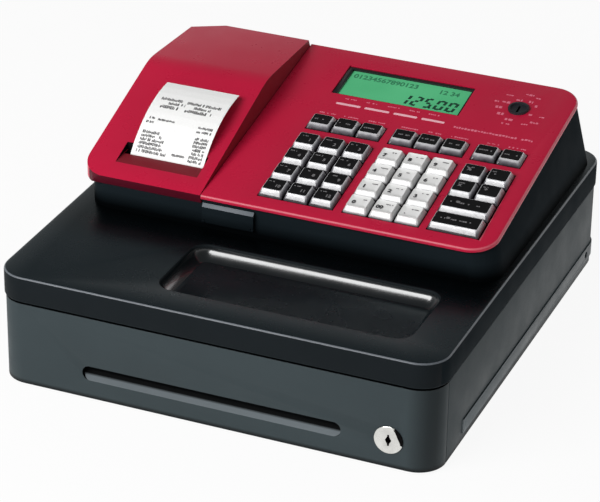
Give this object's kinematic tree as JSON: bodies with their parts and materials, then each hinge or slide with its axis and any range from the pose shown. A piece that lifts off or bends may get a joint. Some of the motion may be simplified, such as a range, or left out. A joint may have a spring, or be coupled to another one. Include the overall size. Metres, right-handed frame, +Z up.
{
  "type": "ticket register",
  "caption": "Compact ticket register: a red keyboard panel with display and receipt printer on a small cash drawer with a coin dish in its lid.",
  "frame": {"origin": "on the counter, under the middle of the lid's outline", "axes": "+X to the right as the cashier sees it, +Y to the back, +Z up; the drawer opens towards -Y"},
  "size_m": [0.33, 0.36, 0.1535],
  "materials": {
    "housing": "fine spark texture",
    "lid": "fine spark texture",
    "case": "satin",
    "panel": "satin, fine grain",
    "tray": "matt",
    "key_dark": "clear cap over a dark legend plate",
    "key_white": "clear cap over a white legend plate",
    "display": "gloss",
    "dial": "satin",
    "board": "solder resist",
    "paper": "matt, thermal paper",
    "steel": "zinc plated",
    "chrome": "polished",
    "rubber": "matt"
  },
  "bodies": {
    "base": {"cabinet": "housing", "lid": "lid", "feet": "rubber", "cover_screws": "steel", "register_case": "case", "keyboard_panel": "panel", "display_module": "display", "circuit_board": "board", "printer_unit": "steel", "drawer_release": "steel"},
    "drawer": {"drawer": "housing", "cash_tray": "tray"},
    "note_clip_left": {"note_clip_left": "tray"},
    "note_clip_middle": {"note_clip_middle": "tray"},
    "note_clip_right": {"note_clip_right": "tray"},
    "lock_plug": {"lock_plug": "chrome"},
    "mode_dial": {"mode_dial": "dial"},
    "printer_cover": {"printer_cover": "panel", "receipt_paper": "paper"},
    "paper_roll": {"paper_roll": "paper"},
    "platen_roller": {"platen_roller": "rubber"},
    "card_slot_flap": {"card_slot_flap": "case"},
    "key_function_1": {"key_function_1": "key_dark"},
    "key_function_2": {"key_function_2": "key_dark"},
    "key_function_3": {"key_function_3": "key_dark"},
    "key_function_4": {"key_function_4": "key_dark"},
    "key_function_5": {"key_function_5": "key_dark"},
    "key_function_6": {"key_function_6": "key_dark"},
    "key_function_7": {"key_function_7": "key_dark"},
    "key_function_8": {"key_function_8": "key_dark"},
    "key_department_1": {"key_department_1": "key_dark"},
    "key_department_2": {"key_department_2": "key_dark"},
    "key_department_3": {"key_department_3": "key_dark"},
    "key_department_4": {"key_department_4": "key_dark"},
    "key_department_5": {"key_department_5": "key_dark"},
    "key_department_6": {"key_department_6": "key_dark"},
    "key_department_7": {"key_department_7": "key_dark"},
    "key_department_8": {"key_department_8": "key_dark"},
    "key_department_9": {"key_department_9": "key_dark"},
    "key_department_10": {"key_department_10": "key_dark"},
    "key_department_11": {"key_department_11": "key_dark"},
    "key_department_12": {"key_department_12": "key_dark"},
    "key_number_7": {"key_number_7": "key_white"},
    "key_number_8": {"key_number_8": "key_white"},
    "key_number_9": {"key_number_9": "key_white"},
    "key_number_4": {"key_number_4": "key_white"},
    "key_number_5": {"key_number_5": "key_white"},
    "key_number_6": {"key_number_6": "key_white"},
    "key_number_1": {"key_number_1": "key_white"},
    "key_number_2": {"key_number_2": "key_white"},
    "key_number_3": {"key_number_3": "key_white"},
    "key_number_0": {"key_number_0": "key_white"},
    "key_number_00": {"key_number_00": "key_white"},
    "key_number_point": {"key_number_point": "key_white"},
    "key_percent": {"key_percent": "key_dark"},
    "key_check": {"key_check": "key_dark"},
    "key_credit": {"key_credit": "key_dark"},
    "key_receive": {"key_receive": "key_dark"},
    "key_subtotal": {"key_subtotal": "key_dark"},
    "key_total": {"key_total": "key_dark"}
  },
  "joints": [
    {"name": "drawer_slide", "type": "slide", "parent": "base", "child": "drawer", "axis": [0, -1, 0], "range_m": [0, 0.24]},
    {"name": "note_clip_left_hinge", "type": "hinge", "parent": "drawer", "child": "note_clip_left", "pos_m": [-0.10287, 0.1396, 0.049], "axis": [-1, 0, 0], "range_deg": [0, 30], "stiffness_Nm_per_rad": 0.06, "springref_deg": -22.92},
    {"name": "note_clip_middle_hinge", "type": "hinge", "parent": "drawer", "child": "note_clip_middle", "pos_m": [0, 0.1396, 0.049], "axis": [-1, 0, 0], "range_deg": [0, 30], "stiffness_Nm_per_rad": 0.06, "springref_deg": -22.92},
    {"name": "note_clip_right_hinge", "type": "hinge", "parent": "drawer", "child": "note_clip_right", "pos_m": [0.10287, 0.1396, 0.049], "axis": [-1, 0, 0], "range_deg": [0, 30], "stiffness_Nm_per_rad": 0.06, "springref_deg": -22.92},
    {"name": "lock_turn", "type": "hinge", "parent": "drawer", "child": "lock_plug", "pos_m": [0.13, -0.17, 0.023], "axis": [0, -1, 0], "range_deg": [0, 90]},
    {"name": "mode_dial_turn", "type": "hinge", "parent": "base", "child": "mode_dial", "pos_m": [0.1175, 0.10917, 0.14244], "axis": [0, -0.1736, 0.9848], "range_deg": [-75, 75]},
    {"name": "printer_cover_hinge", "type": "hinge", "parent": "base", "child": "printer_cover", "pos_m": [-0.098, 0.14721, 0.14067], "axis": [-1, 0, 0], "range_deg": [0, 70]},
    {"name": "paper_roll_turn", "type": "hinge", "parent": "base", "child": "paper_roll", "pos_m": [-0.1016, 0.0608, 0.1165], "axis": [1, 0, 0], "continuous": true},
    {"name": "platen_roller_turn", "type": "hinge", "parent": "base", "child": "platen_roller", "pos_m": [-0.1016, -0.0242, 0.1045], "axis": [1, 0, 0], "continuous": true},
    {"name": "card_slot_flap_hinge", "type": "hinge", "parent": "base", "child": "card_slot_flap", "pos_m": [-0.0403, -0.0602, 0.0923], "axis": [1, 0, 0], "range_deg": [0, 80], "stiffness_Nm_per_rad": 0.002, "springref_deg": -17.19},
    {"name": "key_function_1_press", "type": "slide", "parent": "base", "child": "key_function_1", "axis": [0, 0.1736, -0.9848], "range_m": [0, 0.003], "stiffness_N_per_m": 200, "springref_m": -0.002},
    {"name": "key_function_2_press", "type": "slide", "parent": "base", "child": "key_function_2", "axis": [0, 0.1736, -0.9848], "range_m": [0, 0.003], "stiffness_N_per_m": 200, "springref_m": -0.002},
    {"name": "key_function_3_press", "type": "slide", "parent": "base", "child": "key_function_3", "axis": [0, 0.1736, -0.9848], "range_m": [0, 0.003], "stiffness_N_per_m": 200, "springref_m": -0.002},
    {"name": "key_function_4_press", "type": "slide", "parent": "base", "child": "key_function_4", "axis": [0, 0.1736, -0.9848], "range_m": [0, 0.003], "stiffness_N_per_m": 200, "springref_m": -0.002},
    {"name": "key_function_5_press", "type": "slide", "parent": "base", "child": "key_function_5", "axis": [0, 0.1736, -0.9848], "range_m": [0, 0.003], "stiffness_N_per_m": 200, "springref_m": -0.002},
    {"name": "key_function_6_press", "type": "slide", "parent": "base", "child": "key_function_6", "axis": [0, 0.1736, -0.9848], "range_m": [0, 0.003], "stiffness_N_per_m": 200, "springref_m": -0.002},
    {"name": "key_function_7_press", "type": "slide", "parent": "base", "child": "key_function_7", "axis": [0, 0.1736, -0.9848], "range_m": [0, 0.003], "stiffness_N_per_m": 200, "springref_m": -0.002},
    {"name": "key_function_8_press", "type": "slide", "parent": "base", "child": "key_function_8", "axis": [0, 0.1736, -0.9848], "range_m": [0, 0.003], "stiffness_N_per_m": 200, "springref_m": -0.002},
    {"name": "key_department_1_press", "type": "slide", "parent": "base", "child": "key_department_1", "axis": [0, 0.1736, -0.9848], "range_m": [0, 0.003], "stiffness_N_per_m": 200, "springref_m": -0.002},
    {"name": "key_department_2_press", "type": "slide", "parent": "base", "child": "key_department_2", "axis": [0, 0.1736, -0.9848], "range_m": [0, 0.003], "stiffness_N_per_m": 200, "springref_m": -0.002},
    {"name": "key_department_3_press", "type": "slide", "parent": "base", "child": "key_department_3", "axis": [0, 0.1736, -0.9848], "range_m": [0, 0.003], "stiffness_N_per_m": 200, "springref_m": -0.002},
    {"name": "key_department_4_press", "type": "slide", "parent": "base", "child": "key_department_4", "axis": [0, 0.1736, -0.9848], "range_m": [0, 0.003], "stiffness_N_per_m": 200, "springref_m": -0.002},
    {"name": "key_department_5_press", "type": "slide", "parent": "base", "child": "key_department_5", "axis": [0, 0.1736, -0.9848], "range_m": [0, 0.003], "stiffness_N_per_m": 200, "springref_m": -0.002},
    {"name": "key_department_6_press", "type": "slide", "parent": "base", "child": "key_department_6", "axis": [0, 0.1736, -0.9848], "range_m": [0, 0.003], "stiffness_N_per_m": 200, "springref_m": -0.002},
    {"name": "key_department_7_press", "type": "slide", "parent": "base", "child": "key_department_7", "axis": [0, 0.1736, -0.9848], "range_m": [0, 0.003], "stiffness_N_per_m": 200, "springref_m": -0.002},
    {"name": "key_department_8_press", "type": "slide", "parent": "base", "child": "key_department_8", "axis": [0, 0.1736, -0.9848], "range_m": [0, 0.003], "stiffness_N_per_m": 200, "springref_m": -0.002},
    {"name": "key_department_9_press", "type": "slide", "parent": "base", "child": "key_department_9", "axis": [0, 0.1736, -0.9848], "range_m": [0, 0.003], "stiffness_N_per_m": 200, "springref_m": -0.002},
    {"name": "key_department_10_press", "type": "slide", "parent": "base", "child": "key_department_10", "axis": [0, 0.1736, -0.9848], "range_m": [0, 0.003], "stiffness_N_per_m": 200, "springref_m": -0.002},
    {"name": "key_department_11_press", "type": "slide", "parent": "base", "child": "key_department_11", "axis": [0, 0.1736, -0.9848], "range_m": [0, 0.003], "stiffness_N_per_m": 200, "springref_m": -0.002},
    {"name": "key_department_12_press", "type": "slide", "parent": "base", "child": "key_department_12", "axis": [0, 0.1736, -0.9848], "range_m": [0, 0.003], "stiffness_N_per_m": 200, "springref_m": -0.002},
    {"name": "key_number_7_press", "type": "slide", "parent": "base", "child": "key_number_7", "axis": [0, 0.1736, -0.9848], "range_m": [0, 0.003], "stiffness_N_per_m": 200, "springref_m": -0.002},
    {"name": "key_number_8_press", "type": "slide", "parent": "base", "child": "key_number_8", "axis": [0, 0.1736, -0.9848], "range_m": [0, 0.003], "stiffness_N_per_m": 200, "springref_m": -0.002},
    {"name": "key_number_9_press", "type": "slide", "parent": "base", "child": "key_number_9", "axis": [0, 0.1736, -0.9848], "range_m": [0, 0.003], "stiffness_N_per_m": 200, "springref_m": -0.002},
    {"name": "key_number_4_press", "type": "slide", "parent": "base", "child": "key_number_4", "axis": [0, 0.1736, -0.9848], "range_m": [0, 0.003], "stiffness_N_per_m": 200, "springref_m": -0.002},
    {"name": "key_number_5_press", "type": "slide", "parent": "base", "child": "key_number_5", "axis": [0, 0.1736, -0.9848], "range_m": [0, 0.003], "stiffness_N_per_m": 200, "springref_m": -0.002},
    {"name": "key_number_6_press", "type": "slide", "parent": "base", "child": "key_number_6", "axis": [0, 0.1736, -0.9848], "range_m": [0, 0.003], "stiffness_N_per_m": 200, "springref_m": -0.002},
    {"name": "key_number_1_press", "type": "slide", "parent": "base", "child": "key_number_1", "axis": [0, 0.1736, -0.9848], "range_m": [0, 0.003], "stiffness_N_per_m": 200, "springref_m": -0.002},
    {"name": "key_number_2_press", "type": "slide", "parent": "base", "child": "key_number_2", "axis": [0, 0.1736, -0.9848], "range_m": [0, 0.003], "stiffness_N_per_m": 200, "springref_m": -0.002},
    {"name": "key_number_3_press", "type": "slide", "parent": "base", "child": "key_number_3", "axis": [0, 0.1736, -0.9848], "range_m": [0, 0.003], "stiffness_N_per_m": 200, "springref_m": -0.002},
    {"name": "key_number_0_press", "type": "slide", "parent": "base", "child": "key_number_0", "axis": [0, 0.1736, -0.9848], "range_m": [0, 0.003], "stiffness_N_per_m": 200, "springref_m": -0.002},
    {"name": "key_number_00_press", "type": "slide", "parent": "base", "child": "key_number_00", "axis": [0, 0.1736, -0.9848], "range_m": [0, 0.003], "stiffness_N_per_m": 200, "springref_m": -0.002},
    {"name": "key_number_point_press", "type": "slide", "parent": "base", "child": "key_number_point", "axis": [0, 0.1736, -0.9848], "range_m": [0, 0.003], "stiffness_N_per_m": 200, "springref_m": -0.002},
    {"name": "key_percent_press", "type": "slide", "parent": "base", "child": "key_percent", "axis": [0, 0.1736, -0.9848], "range_m": [0, 0.003], "stiffness_N_per_m": 200, "springref_m": -0.002},
    {"name": "key_check_press", "type": "slide", "parent": "base", "child": "key_check", "axis": [0, 0.1736, -0.9848], "range_m": [0, 0.003], "stiffness_N_per_m": 200, "springref_m": -0.002},
    {"name": "key_credit_press", "type": "slide", "parent": "base", "child": "key_credit", "axis": [0, 0.1736, -0.9848], "range_m": [0, 0.003], "stiffness_N_per_m": 200, "springref_m": -0.002},
    {"name": "key_receive_press", "type": "slide", "parent": "base", "child": "key_receive", "axis": [0, 0.1736, -0.9848], "range_m": [0, 0.003], "stiffness_N_per_m": 200, "springref_m": -0.002},
    {"name": "key_subtotal_press", "type": "slide", "parent": "base", "child": "key_subtotal", "axis": [0, 0.1736, -0.9848], "range_m": [0, 0.003], "stiffness_N_per_m": 200, "springref_m": -0.002},
    {"name": "key_total_press", "type": "slide", "parent": "base", "child": "key_total", "axis": [0, 0.1736, -0.9848], "range_m": [0, 0.003], "stiffness_N_per_m": 200, "springref_m": -0.002}
  ],
  "couplings": [
    {"joint": "platen_roller_turn", "follows": "paper_roll_turn", "ratio": -3.4286}
  ]
}
